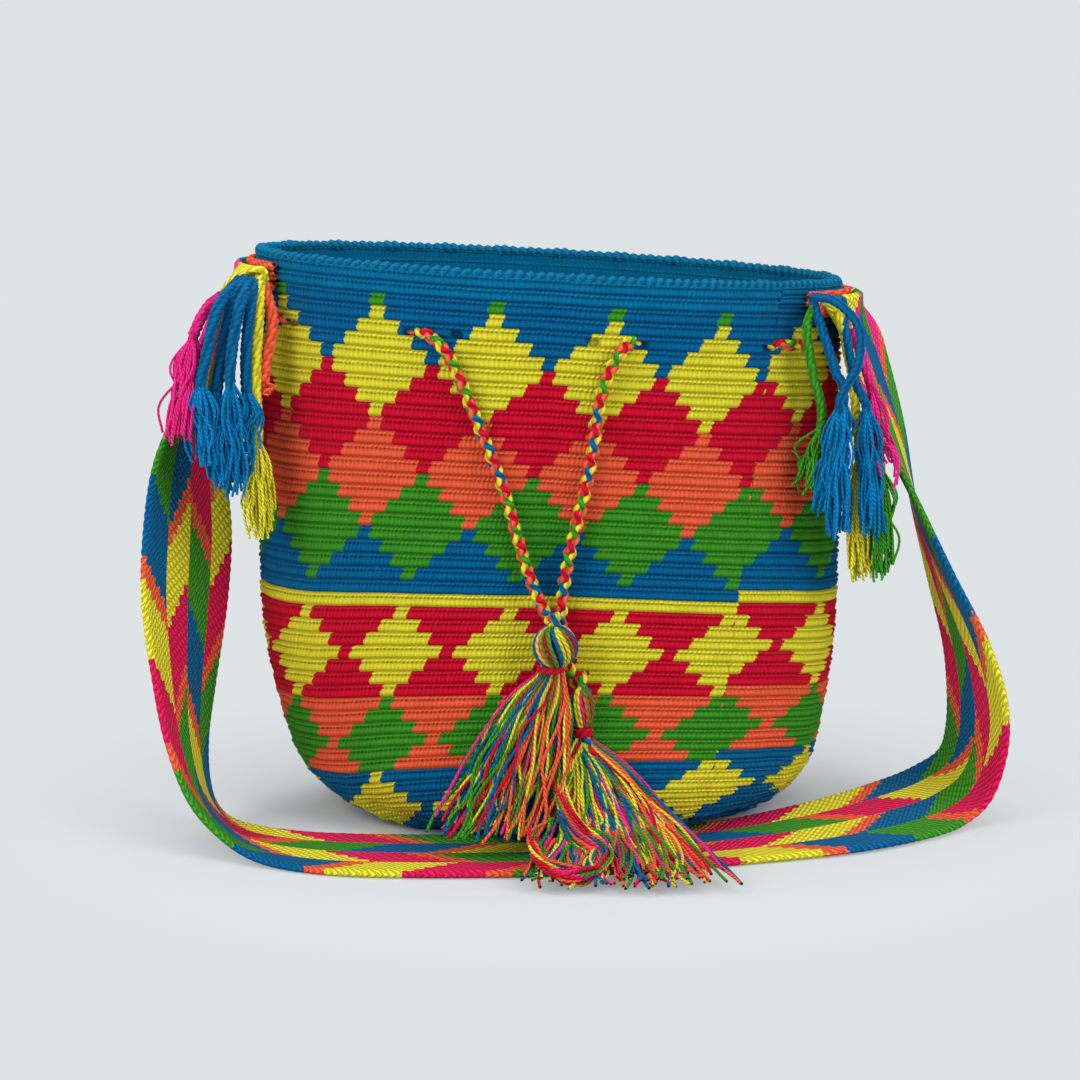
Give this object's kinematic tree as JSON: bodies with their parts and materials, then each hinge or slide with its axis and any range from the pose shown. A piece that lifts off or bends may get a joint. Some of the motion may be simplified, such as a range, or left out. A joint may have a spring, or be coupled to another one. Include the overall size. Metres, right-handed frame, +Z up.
{
  "type": "crochet bucket bag",
  "caption": "Crochet bucket bag worked in rounds with stepped diamonds, a woven shoulder strap and a braided drawstring with yarn tassels.",
  "frame": {"origin": "middle of the flat base, on the surface that the bag stands on", "axes": "+Z up along the bag, +X to the bag's right as seen from the front, front towards -Y"},
  "size_m": [0.3896, 0.2684, 0.2587],
  "materials": {
    "crochet_body": "tight crochet in rounds of blue, crimson, orange, green and yellow yarn, matt",
    "woven_strap": "woven band with slanting stripes, matt",
    "coral_edging": "coral crochet stitches, matt",
    "braided_cord": "round braid of five yarn colours, matt",
    "orange_yarn": "plied yarn, matt",
    "yellow_yarn": "plied yarn, matt",
    "blue_yarn": "plied yarn, matt",
    "pink_yarn": "plied yarn, matt",
    "green_yarn": "plied yarn, matt",
    "lime_yarn": "plied yarn, matt",
    "tassel_head": "wound loops of mixed yarn, matt",
    "tassel_tie": "wound yarn, matt",
    "tassel_skirt": "loose yarns of mixed colours, matt"
  },
  "bodies": {
    "root": {"bag_body": "crochet_body", "shoulder_strap": "woven_strap", "strap_seam_left": "coral_edging", "strap_seam_right": "coral_edging", "drawstring": "braided_cord", "fringe_left_orange": "orange_yarn", "fringe_left_yellow": "yellow_yarn", "fringe_left_blue_1": "blue_yarn", "fringe_left_blue_2": "blue_yarn", "fringe_left_blue_3": "blue_yarn", "fringe_left_blue_4": "blue_yarn", "fringe_left_pink": "pink_yarn", "fringe_right_green": "green_yarn", "fringe_right_blue_1": "blue_yarn", "fringe_right_blue_2": "blue_yarn", "fringe_right_yellow": "yellow_yarn", "fringe_right_blue_3": "blue_yarn", "fringe_right_pink": "pink_yarn", "fringe_right_lime": "lime_yarn", "tassel_left_head": "tassel_head", "tassel_left_tie": "tassel_tie", "tassel_left_skirt": "tassel_skirt", "tassel_right_head": "tassel_head", "tassel_right_tie": "tassel_tie", "tassel_right_skirt": "tassel_skirt"}
  },
  "joints": []
}
